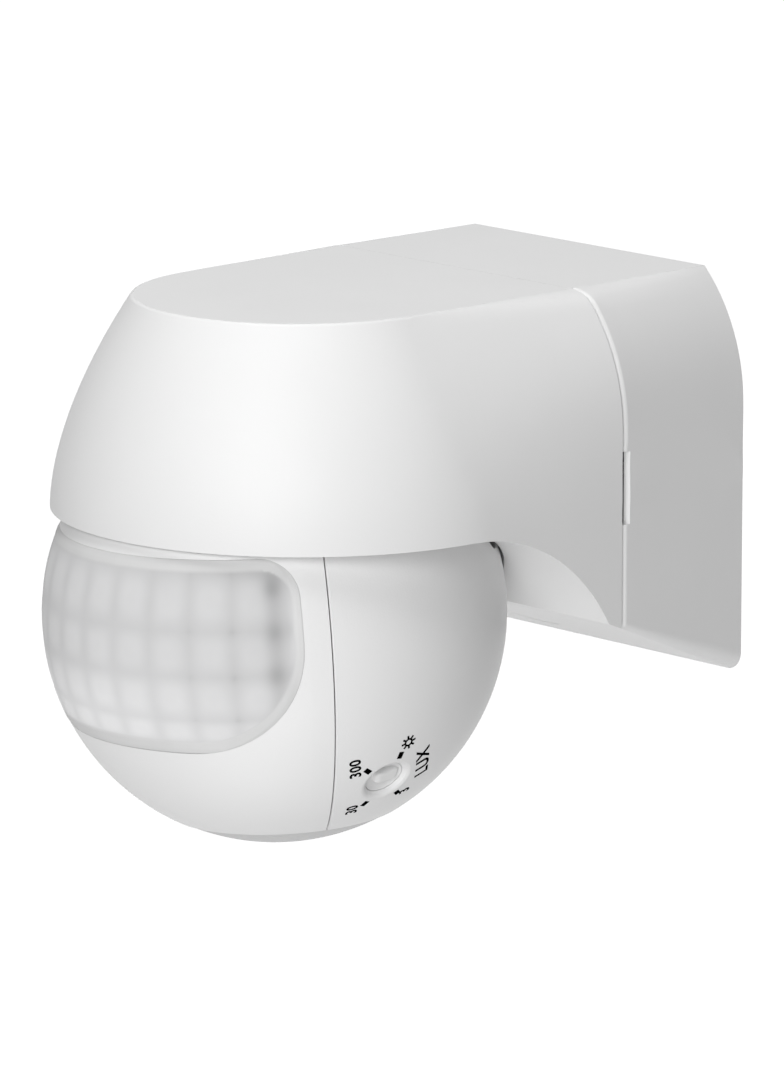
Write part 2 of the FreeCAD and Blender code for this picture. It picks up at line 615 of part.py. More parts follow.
head_turn = FreeCAD.Rotation(FreeCAD.Vector(0, 0, 1), PAN_AT_REST).multiply(
    FreeCAD.Rotation(FreeCAD.Vector(1, 0, 0), TILT_AT_REST))


def head_node(part, label):
    """Set a part drawn about the head's own centre into the hood."""
    place(part, ball_spot, head_turn)
    return node(part, label)


def shell(name, outer, inner):
    """A hollow sphere about the head's own centre."""
    return cut(name, ball(f"{name}_outer", outer), [ball(f"{name}_inner", inner)])


def window(name, grow):
    """The lens window's side profile, drawn across the head and grown all round."""
    low = f"dims.lens_low - {grow}"
    tall = f"dims.lens_high - dims.lens_low + 2 * {grow}"
    slab = box(f"{name}_slab", ("-50", f"dims.lens_back + {grow} - 60", low), ("100", "60", tall))
    low_fill = SIZE["lens_low"] - grow
    high_fill = SIZE["lens_high"] + grow
    back_fill = SIZE["lens_back"] + grow
    doc.recompute()
    low_round = rounded(
        f"{name}_low", slab, SIZE["lens_low_corner"] + min(grow, 0),
        lambda b: b.XLength > 90 and b.YMin > back_fill - 0.1 and b.ZMax < low_fill + 0.1)
    return rounded(
        f"{name}_profile", low_round, SIZE["lens_high_corner"] + min(grow, 0),
        lambda b: b.XLength > 90 and b.YMin > back_fill - 0.1 and b.ZMin > high_fill - 0.1)


skin = shell("skin", "dims.ball_radius", "dims.ball_radius - dims.ball_wall")
front_zone = box("front_zone", ("-50", "dims.ball_seam - 100.1", "-50"), ("100", "100", "100"))
rear_zone = box("rear_zone", ("-50", "dims.ball_seam + 0.1", "-50"), ("100", "100", "100"))
cap_hole = rod("cap_hole", ("0", "0", "-50"), "dims.cap_radius + 0.15", "30")
stem_slot = box("stem_slot", ("-5.2", "-12.5", "18"), ("10.4", "34.8", "30"))
knob_axes = []
knob_holes = []
for side in (-1, 1):
    longitude = math.radians(side * KNOB_LONGITUDE)
    latitude = math.radians(KNOB_LATITUDE)
    outward = FreeCAD.Vector(
        math.sin(longitude) * math.cos(latitude),
        -math.cos(longitude) * math.cos(latitude),
        math.sin(latitude))
    level = FreeCAD.Vector(0, 0, 1).cross(outward).normalize()
    upward = outward.cross(level)
    knob_axes.append((side, outward, FreeCAD.Rotation(level, upward, outward, "ZXY")))


def radial_rod(name, knob, start, radius, height):
    """A cylinder along a knob's axis, starting at a distance from the head's centre."""
    side, outward, turn = knob
    spot = [f"{part} * ({start})" for part in outward]
    return rod(f"{name}_{side + 2}", spot, radius, height, turn)


def knob_dish(name, knob):
    """The ball-shaped hollow in the head round a setting knob."""
    side, outward, turn = knob
    spot = [f"{part} * (dims.ball_radius + dims.dish_reach)" for part in outward]
    sideways = turn.multiply(FreeCAD.Rotation(FreeCAD.Vector(0, 1, 0), -90))
    return solid("Sphere", f"{name}_{side + 2}", spot, sideways, Radius="dims.dish_radius")


for knob in knob_axes:
    knob_holes.append(knob_dish("shell_dish", knob))
    knob_holes.append(radial_rod("knob_hole", knob, "20", "dims.knob_radius + 0.08", "20"))
front_skin = cut(
    "front_skin", common("front_half", skin, front_zone),
    [window("window_hole", 0.1), cap_hole, stem_slot])
shell_screw_spots = [(-9, 11), (9, 11)]
rear_bosses = []
rear_pilots = []
rear_skin = common("rear_half", skin, rear_zone)
boss_zone = ball("boss_zone", "dims.ball_radius - 0.5")
for number, (along, up) in enumerate(shell_screw_spots):
    boss = rod(f"shell_boss_{number}", (along, "32", up), "3.4", "16", TOWARDS_FRONT)
    rear_bosses.append(common(f"shell_boss_trim_{number}", boss, boss_zone))
    rear_pilots.append(rod(f"shell_pilot_{number}", (along, "40", up), "1.3", "30", TOWARDS_FRONT))
    rear_pilots.append(rod(f"shell_sink_{number}", (along, "42", up), "2.6", "18", TOWARDS_FRONT))
for knob in knob_axes:
    thick = radial_rod("dish_boss", knob, "dims.ball_radius - 4", "dims.dish_radius", "6")
    rear_bosses.append(common(f"dish_boss_trim_{knob[0] + 2}", thick, boss_zone))
head_node(front_skin, "front_shell")
rear_body = cut(
    "rear_body", fuse("rear_solid", [rear_skin] + rear_bosses),
    [cap_hole, stem_slot] + knob_holes + rear_pilots)
knob_rims = [outward * (SIZE["ball_radius"] - 0.25) for side, outward, turn in knob_axes]
rear_rounded = rounded(
    "rear_rounded", rear_body, 0.7,
    lambda b: any((b.Center - rim).Length < 0.4 for rim in knob_rims))
head_node(bevelled(
    "rear_bevelled", rear_rounded, 0.2,
    lambda b: b.YMax < SIZE["ball_seam"] + 0.2 and max(-b.XMin, b.XMax) > 33), "rear_shell")

lens_shell = shell("lens_shell", "dims.ball_radius", "dims.ball_radius - dims.lens_wall")
head_node(common("lens_body", lens_shell, window("lens_window", 0)), "fresnel_lens")
frame_step = cut(
    "frame_step", common("frame_step_shell", shell(
        "frame_step_skin", "dims.ball_radius - dims.lens_wall - 0.05", "dims.ball_radius - 3.3"),
        window("frame_step_window", -0.3)), [window("frame_opening", -1.8)])
frame_rim = cut(
    "frame_rim", common("frame_rim_shell", shell(
        "frame_rim_skin", "dims.ball_radius - dims.ball_wall - 0.05", "dims.ball_radius - 3.3"),
        window("frame_rim_window", 2.2)), [window("frame_rim_opening", -1.8)])
head_node(fuse("frame_body", [frame_step, frame_rim]), "lens_frame")

cap_shell = shell("cap_shell", "dims.ball_radius - 0.15", "dims.ball_radius - 2.2")
cap_plug = rod("cap_plug", ("0", "0", "-50"), "dims.cap_radius", "30")
head_node(common("cap_body", cap_shell, cap_plug), "bottom_cap")

sensor_level = 4.0
sensor = rod("sensor_disc", ("0", sensor_level, "0"), "23", "dims.board_wall", TOWARDS_FRONT)
sensor_cuts = [
    rod(f"sensor_hole_{number}", (along, "20", up), "1.5", "30", TOWARDS_FRONT)
    for number, (along, up) in enumerate(shell_screw_spots)
]
for knob in knob_axes:
    sensor_cuts.append(radial_rod("sensor_notch", knob, "5", "4.7", "25"))
sensor_cuts.append(box("sensor_flat", ("-30", "-5", "19"), ("60", "20", "10")))
head_node(cut("sensor_body", sensor, sensor_cuts), "sensor_board")
sensor_front = sensor_level - SIZE["board_wall"] - 0.03
sensor_back = sensor_level + 0.03
head_node(fuse("pyro_parts", [
    rod("pyro_flange", ("0", sensor_front, "0"), "4.8", "0.6", TOWARDS_FRONT),
    cut("pyro_can_cut", rod("pyro_can", ("0", sensor_front, "0"), "4.2", "4.2", TOWARDS_FRONT),
        [box("pyro_port", ("-2", sensor_front - 5, "-1.5"), ("4", "1.6", "3"))]),
]), "pyro_sensor")
pane = box("pane_sheet", ("-1.95", sensor_front - 4.15, "-1.45"), ("3.9", "0.5", "2.9"))
head_node(group("pane_group", [pane]), "pyro_window")
head_node(fuse("cell_parts", [
    rod("cell_disc", ("12", sensor_front, "-9"), "2.6", "1.8", TOWARDS_FRONT),
    rod("cell_face", ("12", sensor_front - 1.8, "-9"), "2.1", "0.3", TOWARDS_FRONT),
]), "light_sensor")
head_node(fuse("led_parts", [
    rod("led_flange", ("-12", sensor_front, "-9"), "1.9", "0.8", TOWARDS_FRONT),
    rod("led_barrel", ("-12", sensor_front, "-9"), "1.5", "2.6", TOWARDS_FRONT),
    solid("Sphere", "led_tip", ("-12", sensor_front - 2.6, "-9"), Radius=1.5),
]), "walk_test_led")
chip_parts = [box("chip_case", ("-5", sensor_back + 0.3, "-14"), ("10", "2", "4.4"))]
for leg in range(6):
    for row, low in (("low", -15.2), ("high", -9.8)):
        leg_x = -4.4 + 1.6 * leg
        chip_parts.append(box(
            f"chip_leg_{row}_{leg}", (leg_x, sensor_back, low), ("0.7", "1.2", "1.4")))
head_node(fuse("chip_body", chip_parts), "control_chip")
shell_screws = [
    pan_screw(f"shell_screw_{number}", (along, "24.1", up), 1.1, 2.3, 18.0, TOWARDS_WALL)
    for number, (along, up) in enumerate(shell_screw_spots)
]
head_node(group("shell_screw_group", shell_screws), "shell_screws")

for knob, label in zip(knob_axes, ("time", "lux")):
    side, outward, turn = knob
    dial = cut(
        f"dial_face_{side + 2}",
        radial_rod("dial", knob, "dims.ball_radius - 3.6", "dims.knob_radius", "3.42"),
        [knob_dish("dial_dish", knob)])
    shaft = radial_rod("shaft", knob, "23", "1.5", "dims.ball_radius - 26.5")
    pointed = turn.multiply(FreeCAD.Rotation(FreeCAD.Vector(0, 0, 1), side * KNOB_POINTING))
    foot = outward * (SIZE["ball_radius"] - 3.0)
    spot = foot + pointed.multVec(
        FreeCAD.Vector(GRIP_SHIFT - GRIP_LENGTH / 2, -GRIP_WIDTH / 2, 0))
    grip = solid(
        "Box", f"grip_{side + 2}", spot, pointed,
        Length=GRIP_LENGTH, Width=GRIP_WIDTH, Height=GRIP_RISE)
    round_grip = rounded(
        f"round_grip_{side + 2}", grip, GRIP_WIDTH / 2 - 0.05,
        lambda b: abs(b.DiagonalLength - GRIP_RISE) < 0.05)
    soft_grip = rounded(
        f"soft_grip_{side + 2}", round_grip, 0.45,
        lambda b: (b.Center - foot).dot(outward) > GRIP_RISE * 0.75)
    head_node(fuse(f"knob_body_{side + 2}", [dial, shaft, soft_grip]), f"{label}_knob")
    pot = cut(
        f"pot_body_{side + 2}", radial_rod("pot_case", knob, "20.5", "4.2", "6"),
        [radial_rod("pot_bore", knob, "22.4", "1.55", "6")])
    head_node(pot, f"{label}_potentiometer")

# --------------------------------------------------------------- check, write

doc.recompute()
problems = []
for part in doc.Objects:
    if "Invalid" in part.State or "Error" in part.State:
        problems.append(part.Name)
for part in nodes:
    if part.Shape.isNull() or not part.Shape.isValid():
        problems.append(part.Label)
    if not part.Shape.Solids:
        problems.append(f"{part.Label} has no solid")
if problems:
    raise RuntimeError(f"Faulty parts: {problems}")
for part in nodes:
    part.Shape.exportStep(f"parts/{part.Label}.step")
    print(part.Label, len(part.Shape.Solids), round(part.Shape.Volume, 1))
print(len(nodes), "nodes written")
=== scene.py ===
import json
import math

import bmesh
import bpy
from mathutils import Matrix, Vector


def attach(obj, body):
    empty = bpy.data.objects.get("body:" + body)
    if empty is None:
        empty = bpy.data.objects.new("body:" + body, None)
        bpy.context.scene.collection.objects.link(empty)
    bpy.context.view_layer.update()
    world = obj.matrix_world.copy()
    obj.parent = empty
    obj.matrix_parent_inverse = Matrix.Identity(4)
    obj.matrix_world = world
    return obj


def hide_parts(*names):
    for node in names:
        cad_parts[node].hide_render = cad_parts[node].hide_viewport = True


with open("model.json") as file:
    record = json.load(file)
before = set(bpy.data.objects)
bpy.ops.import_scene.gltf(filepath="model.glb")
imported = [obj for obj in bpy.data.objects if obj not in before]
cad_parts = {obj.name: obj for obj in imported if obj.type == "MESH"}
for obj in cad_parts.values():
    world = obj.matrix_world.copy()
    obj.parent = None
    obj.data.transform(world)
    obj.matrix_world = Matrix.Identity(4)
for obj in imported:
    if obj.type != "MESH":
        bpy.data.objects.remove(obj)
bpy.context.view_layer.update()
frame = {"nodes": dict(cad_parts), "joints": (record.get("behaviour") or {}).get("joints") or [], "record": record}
nodes = frame["nodes"]
scene = bpy.context.scene
MM = 0.001


# ------------------------------------------------------------------ materials

NOISE_SPAN = (0.3, 0.7)
CLOUD_SCALE = 60
CLOUD_SHADE = 0.985
GRAIN_SCALE = 2600
GRAIN_STRENGTH = 0.35
GRAIN_DEPTH = 0.04 * MM
MARK_SCALE = 900
MARK_STRENGTH = 0.1
MARK_HEIGHT = 0.02 * MM


def shader(name, colour, roughness, metallic=0.0, **sockets):
    """A node material with one Principled shader; returns it with its tree and shader."""
    material = bpy.data.materials.new(name)
    material.use_nodes = True
    tree = material.node_tree
    principled = tree.nodes["Principled BSDF"]
    principled.inputs["Base Color"].default_value = (*colour, 1.0)
    principled.inputs["Roughness"].default_value = roughness
    principled.inputs["Metallic"].default_value = metallic
    for socket, value in sockets.items():
        principled.inputs[socket.replace("_", " ")].default_value = value
    return material, tree, principled


def object_noise(tree, scale, detail=3.0):
    """Noise that sits on the object, so it rides with it."""
    place = tree.nodes.new("ShaderNodeTexCoord")
    noise = tree.nodes.new("ShaderNodeTexNoise")
    noise.inputs["Scale"].default_value = scale
    noise.inputs["Detail"].default_value = detail
    tree.links.new(place.outputs["Object"], noise.inputs["Vector"])
    return noise


def vary(tree, principled, noise, socket, low, high):
    """Drive a shader socket between two values, both colours or both numbers, with a noise."""
    ramp = tree.nodes.new("ShaderNodeValToRGB")
    for stop, position, value in zip(ramp.color_ramp.elements, NOISE_SPAN, (low, high)):
        colour = value if isinstance(value, tuple) else (value, value, value)
        stop.position = position
        stop.color = (*colour, 1.0)
    tree.links.new(noise.outputs["Fac"], ramp.inputs["Fac"])
    tree.links.new(ramp.outputs["Color"], principled.inputs[socket])


def grain(tree, principled, noise, strength, distance):
    """Surface grain from a noise."""
    bump = tree.nodes.new("ShaderNodeBump")
    bump.inputs["Strength"].default_value = strength
    bump.inputs["Distance"].default_value = distance
    tree.links.new(noise.outputs["Fac"], bump.inputs["Height"])
    tree.links.new(bump.outputs["Normal"], principled.inputs["Normal"])


def moulded(name, colour, roughness, **sockets):
    """Moulded plastic: a slight cloudiness in the colour and a fine spark-eroded grain."""
    material, tree, principled = shader(name, colour, roughness, **sockets)
    cloud = object_noise(tree, CLOUD_SCALE)
    cloudy = tuple(value * CLOUD_SHADE for value in colour)
    vary(tree, principled, cloud, "Base Color", cloudy, colour)
    fine = object_noise(tree, GRAIN_SCALE, 2.0)
    vary(tree, principled, fine, "Roughness", roughness - 0.04, roughness + 0.06)
    grain(tree, principled, fine, GRAIN_STRENGTH, GRAIN_DEPTH)
    return material


def metal(name, colour, roughness):
    """Plated metal with faint rolling marks."""
    material, tree, principled = shader(name, colour, roughness, 1.0)
    marks = object_noise(tree, MARK_SCALE)
    vary(tree, principled, marks, "Roughness", roughness, roughness + 0.15)
    grain(tree, principled, marks, MARK_STRENGTH, MARK_HEIGHT)
    return material


LOOKS = {
    "housing_white": moulded("housing_plastic", (0.80, 0.80, 0.80), 0.5),
    "head_white": moulded("head_plastic", (0.83, 0.83, 0.83), 0.42),
    "cap_white": moulded("cap_plastic", (0.62, 0.62, 0.62), 0.55),
    "inner_white": moulded("inner_plastic", (0.72, 0.72, 0.71), 0.5),
    "lens_milky": moulded("lens_plastic", (0.80, 0.81, 0.82), 0.35),
    "knob_white": moulded("knob_plastic", (0.80, 0.80, 0.80), 0.4),
    "grommet_grey": moulded("grommet_rubber", (0.09, 0.09, 0.095), 0.75),
    "terminal_grey": moulded("terminal_plastic", (0.30, 0.31, 0.33), 0.5),
    "terminal_brass": metal("terminal_brass", (0.80, 0.60, 0.30), 0.3),
    "screw_steel": metal("screw_steel", (0.62, 0.62, 0.63), 0.3),
    "board_green": moulded("board_laminate", (0.02, 0.14, 0.05), 0.35),
    "relay_blue": moulded("relay_plastic", (0.03, 0.12, 0.40), 0.35),
    "capacitor_red": moulded("capacitor_coat", (0.30, 0.05, 0.02), 0.3),
    "capacitor_sleeve": moulded("capacitor_sleeve", (0.02, 0.025, 0.05), 0.35),
    "component_black": moulded("component_plastic", (0.02, 0.02, 0.02), 0.5),
    "varistor_blue": moulded("varistor_coat", (0.03, 0.10, 0.25), 0.5),
    "connector_cream": moulded("connector_plastic", (0.62, 0.56, 0.42), 0.5),
    "sensor_can": metal("sensor_can", (0.60, 0.60, 0.60), 0.25),
    "sensor_window": moulded("sensor_window", (0.03, 0.02, 0.03), 0.15),
    "cell_cream": moulded("cell_coat", (0.50, 0.35, 0.18), 0.3),
    "led_red": moulded("led_epoxy", (0.45, 0.02, 0.02), 0.2),
}
slot_of = {part["node"]: part["material_slot"] for part in frame["record"]["subparts"]}
for name, piece in nodes.items():
    piece.data.materials.clear()
    piece.data.materials.append(LOOKS[slot_of[name]])

# ------------------------------------------------------------------ ball head

tilt_joint = next(joint for joint in frame["joints"] if joint["name"] == "head_tilt")
BALL_CENTRE = Vector(tilt_joint["pos_m"])
PAN_AT_REST = math.atan2(tilt_joint["axis"][1], tilt_joint["axis"][0])
TILT_AT_REST = math.radians(3.2)
HEAD = (
    Matrix.Translation(BALL_CENTRE)
    @ Matrix.Rotation(PAN_AT_REST, 4, "Z")
    @ Matrix.Rotation(TILT_AT_REST, 4, "X"))
BALL_RADIUS = 33.65 * MM


def on_ball(longitude, latitude, radius):
    """A point in the head's own frame: longitude 0 is straight ahead, positive to its left side."""
    level = radius * math.cos(latitude)
    return Vector((
        level * math.sin(longitude), -level * math.cos(longitude), radius * math.sin(latitude)))


def add_piece(name, mesh, body, material, smooth=True):
    """Link a finished mesh as a piece of the object."""
    if smooth:
        mesh.polygons.foreach_set("use_smooth", [True] * len(mesh.polygons))
    mesh.materials.clear()
    mesh.materials.append(material)
    piece = bpy.data.objects.new(name, mesh)
    scene.collection.objects.link(piece)
    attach(piece, body)
    return piece


# The lens: a frosted wrap-round window whose inner field is divided into facets.
LENS_LOW = -13.6 * MM
LENS_HIGH = 14.75 * MM
LENS_BACK = -0.6 * MM
LENS_WALL = 0.9 * MM
LENS_SINK = 0.03 * MM
LENS_RISE = 0.14 * MM
RISE_START = 0.1 * MM
RISE_END = 0.9 * MM
LOW_CORNER = 16.0 * MM
HIGH_CORNER = 5.5 * MM
FACET_COLUMN = math.radians(11.0)
FACET_ROWS = [math.radians(value) for value in (-20.3, -13.9, -2.8, 8.35, 23.1)]
FACET_GROOVE = 0.05 * MM
CROWN_CORE = 0.3
CROWN_EDGE = 1.1
CORNER_SHADE = 0.5
STRIPE_PLACE = math.radians(81.9)
STRIPE_WIDTH = math.radians(2.4)
STRIPE_SHADE = 0.25
KNOT_ROWS = [math.radians(value) for value in (-2.6, 8.0, 18.5)]
KNOT_HEIGHT = math.radians(2.6)
KNOT_SHADE = 0.45
BACK_BORDER = 1.35 * MM
LOW_BORDER = 1.95 * MM
HIGH_BORDER = 1.65 * MM
FIELD_LOW_CORNER = 14.4 * MM
FIELD_HIGH_CORNER = 4.0 * MM
FIELD_FADE = (-0.3 * MM, 0.4 * MM)
BORDER_LINE = 0.4
LENS_ROWS = 96
LENS_STEPS = 320


def lens_edge(height, inset_back, inset_low, inset_high, low_corner, high_corner):
    """Longitude of the lens edge at a height, for an outline set in by three distances."""
    back = LENS_BACK - inset_back
    low = LENS_LOW + inset_low
    high = LENS_HIGH - inset_high
    edge = back
    if height < low + low_corner:
        drop = min(low_corner, low + low_corner - height)
        edge = back - low_corner + math.sqrt(low_corner ** 2 - drop ** 2)
    if height > high - high_corner:
        rise = min(high_corner, height - high + high_corner)
        edge = back - high_corner + math.sqrt(high_corner ** 2 - rise ** 2)
    level = math.sqrt(BALL_RADIUS ** 2 - height ** 2)
    return math.acos(min(1.0, -edge / level))


def smooth_step(value, low, high):
    """Ease from 0 to 1 while a value goes from low to high."""
    share = min(1.0, max(0.0, (value - low) / (high - low)))
    return share * share * (3 - 2 * share)


def facet(longitude, latitude):
    """Crown of the facet at a point, clearness near a corner or stripe, and share of the field."""
    height = BALL_RADIUS * math.sin(latitude)
    level = BALL_RADIUS * math.cos(latitude)
    field_edge = lens_edge(
        height, BACK_BORDER, LOW_BORDER, HIGH_BORDER, FIELD_LOW_CORNER, FIELD_HIGH_CORNER)
    side_room = (field_edge - abs(longitude)) * level
    low_room = height - (LENS_LOW + LOW_BORDER)
    high_room = (LENS_HIGH - HIGH_BORDER) - height
    field = smooth_step(min(side_room, low_room, high_room), *FIELD_FADE)
    across = abs(2 * ((longitude / FACET_COLUMN + 0.5) % 1.0) - 1)
    along = 0.0
    for low, high in zip(FACET_ROWS, FACET_ROWS[1:]):
        if low <= latitude <= high:
            along = abs(2 * (latitude - low) / (high - low) - 1)
    crown = 1 - smooth_step((across ** 3 + along ** 3) ** (1 / 3), CROWN_CORE, CROWN_EDGE)
    corner = (across * along) ** 4
    stripe = math.exp(-((abs(longitude) - STRIPE_PLACE) / STRIPE_WIDTH) ** 2)
    knot = max(math.exp(-((latitude - row) / KNOT_HEIGHT) ** 2) for row in KNOT_ROWS)
    corner = max(CORNER_SHADE * corner, stripe * (STRIPE_SHADE + KNOT_SHADE * knot))
    return crown, corner, field


def painted_lens_light(longitude, latitude, field):
    """Painted light and shade on the sheet: its field and its border are painted paler towards the front, at the
    back edge and below, and darker upwards.
    """
    ahead = 1 - smooth_step(abs(longitude), math.radians(5), math.radians(80))
    behind = smooth_step(abs(longitude), math.radians(85), math.radians(88))
    below = 1 - smooth_step(latitude, math.radians(-14), math.radians(2))
    inner = (0.83 + 0.18 * ahead + 0.2 * behind) * (1 - 0.3 * latitude)
    inner *= 1 + below * (0.03 + 0.13 * ahead)
    border = (0.905 + 0.025 * ahead + 0.12 * behind) * (1 - 0.1 * latitude)
    return border + field * (inner - border)


def lens_bulge(longitude, latitude):
    """How far the lens stands proud of the ball, easing to nothing at its edge."""
    height = BALL_RADIUS * math.sin(latitude)
    edge = lens_edge(height, 0, 0, 0, LOW_CORNER, HIGH_CORNER)
    side_room = (edge - abs(longitude)) * BALL_RADIUS * math.cos(latitude)
    room = min(side_room, height - LENS_LOW, LENS_HIGH - height)
    return LENS_RISE * smooth_step(room, RISE_START, RISE_END)


def build_lens():
    """The lens as one closed sheet, with its facet values and its painted light and shade stored on the points."""
    points = []
    tones = []
    low_latitude = math.asin(LENS_LOW / BALL_RADIUS)
    high_latitude = math.asin(LENS_HIGH / BALL_RADIUS)
    for depth in (0, LENS_WALL):
        for row in range(LENS_ROWS + 1):
            latitude = low_latitude + (high_latitude - low_latitude) * row / LENS_ROWS
            edge = lens_edge(
                BALL_RADIUS * math.sin(latitude), 0, 0, 0, LOW_CORNER, HIGH_CORNER)
            for step in range(LENS_STEPS + 1):
                longitude = edge * (2 * step / LENS_STEPS - 1)
                crown, corner, field = facet(longitude, latitude)
                radius = BALL_RADIUS - LENS_SINK - depth
                if depth == 0:
                    radius += lens_bulge(longitude, latitude) - field * (1 - crown) * FACET_GROOVE
                points.append(HEAD @ on_ball(longitude, latitude, radius))
                side = smooth_step(abs(longitude), math.radians(40), math.radians(85))
                clear = field * corner * (0.1 + 0.9 * side) + BORDER_LINE * field * (1 - field)
                # The fourth stored value is painted light and shade, paler towards the front and below.
                tones.append((crown * field, clear, field, painted_lens_light(longitude, latitude, field)))
    width = LENS_STEPS + 1
    layer_size = width * (LENS_ROWS + 1)
    faces = []
    for row in range(LENS_ROWS):
        for step in range(LENS_STEPS):
            first = row * width + step
            quad = (first, first + 1, first + width + 1, first + width)
            faces.append(quad)
            faces.append(tuple(index + layer_size for index in reversed(quad)))
    rim = list(range(width))
    rim += [row * width + LENS_STEPS for row in range(1, LENS_ROWS + 1)]
    rim += [LENS_ROWS * width + step for step in range(LENS_STEPS - 1, -1, -1)]
    rim += [row * width for row in range(LENS_ROWS - 1, 0, -1)]
    for first, second in zip(rim, rim[1:] + rim[:1]):
        faces.append((second, first, first + layer_size, second + layer_size))
    mesh = bpy.data.meshes.new("lens_facets")
    mesh.from_pydata(points, [], faces)
    for name, values in zip(("crown", "clear", "field", "painted_light"), zip(*tones)):
        store = mesh.attributes.new(name, "FLOAT", "POINT")
        store.data.foreach_set("value", values)
    return mesh


def mix_colours(tree, factor, low, high):
    """Mix two colours, or a socket and a colour, by a factor socket."""
    mix = tree.nodes.new("ShaderNodeMix")
    mix.data_type = "RGBA"
    tree.links.new(factor, mix.inputs["Factor"])
    for socket, value in (("A", low), ("B", high)):
        target = [entry for entry in mix.inputs if entry.name == socket and entry.type == "RGBA"][0]
        if isinstance(value, tuple):
            target.default_value = (*value, 1.0)
        else:
            tree.links.new(value, target)
    return [entry for entry in mix.outputs if entry.type == "RGBA"][0]


def attribute(tree, name):
    """A socket with a value stored on the mesh."""
    reader = tree.nodes.new("ShaderNodeAttribute")
    reader.attribute_name = name
    return reader.outputs["Fac"]


def scaled_colour(tree, colour, factor):
    """A colour socket multiplied by a number socket."""
    scale = tree.nodes.new("ShaderNodeVectorMath")
    scale.operation = "SCALE"
    tree.links.new(colour, scale.inputs[0])
    tree.links.new(factor, scale.inputs["Scale"])
    return scale.outputs["Vector"]


def lens_material():
    """Frosted polythene: pale facet centres, greyer joints, clearer and so darker corners, all scaled by painted
    light and shade.
    """
    material, tree, principled = shader(
        "lens_frosted", (0.72, 0.72, 0.73), 0.55, Specular_IOR_Level=0.2)
    facets = mix_colours(tree, attribute(tree, "crown"), (0.705, 0.705, 0.71), (0.785, 0.785, 0.79))
    spots = mix_colours(tree, attribute(tree, "clear"), facets, (0.4, 0.4, 0.405))
    whole = mix_colours(tree, attribute(tree, "field"), (0.74, 0.74, 0.74), spots)
    # Painted light and shade: the colour is scaled by the stored value that is paler towards the front and below.
    painted_lit_colour = scaled_colour(tree, whole, attribute(tree, "painted_light"))
    mottle = object_noise(tree, 170, 4.0)
    cloud = tree.nodes.new("ShaderNodeMapRange")
    cloud.inputs["To Min"].default_value = 0.95
    cloud.inputs["To Max"].default_value = 1.05
    tree.links.new(mottle.outputs["Fac"], cloud.inputs["Value"])
    result = scaled_colour(tree, painted_lit_colour, cloud.outputs["Result"])
    tree.links.new(result, principled.inputs["Base Color"])
    fine = object_noise(tree, 1500, 2.0)
    grain(tree, principled, fine, 0.2, 0.00004)
    return material


lens_piece = add_piece("lens_facets", build_lens(), "head", lens_material())
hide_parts("fresnel_lens")

# Printed marks round the two setting knobs, each drawn flat and then laid on the ball.
KNOB_LONGITUDE = math.radians(115.4)
KNOB_LATITUDE = math.radians(-38.1)
DIAL_LEAN = math.radians(197)
MARK_LIFT = 0.03 * MM
MARK_DEPTH = 0.05 * MM
CAPITAL_SHARE = 0.73
STROKE_SPREAD = 0.05
DIGIT_HEIGHT = 1.75
TICK_ANGLES = (-25, 38, 142, 205)
TICK_START = 4.5
TICK_LENGTH = 1.2
TICK_WIDTH = 0.82
SUN_INNER = 0.42
SUN_OUTER = 0.7
SUN_STEPS = 24
SUN_RAYS = 8
RAY_LENGTH = 0.5
RAY_WIDTH = 0.3
RAY_START = 0.69


def text_outline(words, height=DIGIT_HEIGHT, squeeze=1.0):
    """Flat letters centred on the origin: list of points and faces in millimetres."""
    curve = bpy.data.curves.new("mark_text", "FONT")
    curve.body = words
    curve.align_x = "CENTER"
    curve.align_y = "CENTER"
    curve.size = height / CAPITAL_SHARE
    curve.space_character = 1.05
    curve.offset = STROKE_SPREAD
    curve.resolution_u = 3
    holder = bpy.data.objects.new("mark_text", curve)
    scene.collection.objects.link(holder)
    bpy.context.view_layer.update()
    flat = bpy.data.meshes.new_from_object(holder)
    points = [(vertex.co.x * squeeze, vertex.co.y) for vertex in flat.vertices]
    faces = [tuple(face.vertices) for face in flat.polygons]
    bpy.data.objects.remove(holder)
    bpy.data.curves.remove(curve)
    bpy.data.meshes.remove(flat)
    return points, faces


def bar(length, width, angle, distance):
    """A flat bar lying along a ray at an angle, starting at a distance, in millimetres."""
    far = distance + length
    corners = [(distance, -width / 2), (far, -width / 2), (far, width / 2), (distance, width / 2)]
    turned = [
        (x * math.cos(angle) - y * math.sin(angle), x * math.sin(angle) + y * math.cos(angle))
        for x, y in corners
    ]
    return turned, [(0, 1, 2, 3)]


def sun_outline():
    """A ring with rays round it, in millimetres."""
    points = []
    faces = []
    for step in range(SUN_STEPS):
        angle = 2 * math.pi * step / SUN_STEPS
        points.append((SUN_INNER * math.cos(angle), SUN_INNER * math.sin(angle)))
        points.append((SUN_OUTER * math.cos(angle), SUN_OUTER * math.sin(angle)))
    for step in range(SUN_STEPS):
        here = 2 * step
        after = 2 * ((step + 1) % SUN_STEPS)
        faces.append((here, here + 1, after + 1, after))
    for ray in range(SUN_RAYS):
        corners, quads = bar(RAY_LENGTH, RAY_WIDTH, 2 * math.pi * ray / SUN_RAYS, RAY_START)
        faces += [tuple(index + len(points) for index in quad) for quad in quads]
        points += corners
    return points, faces


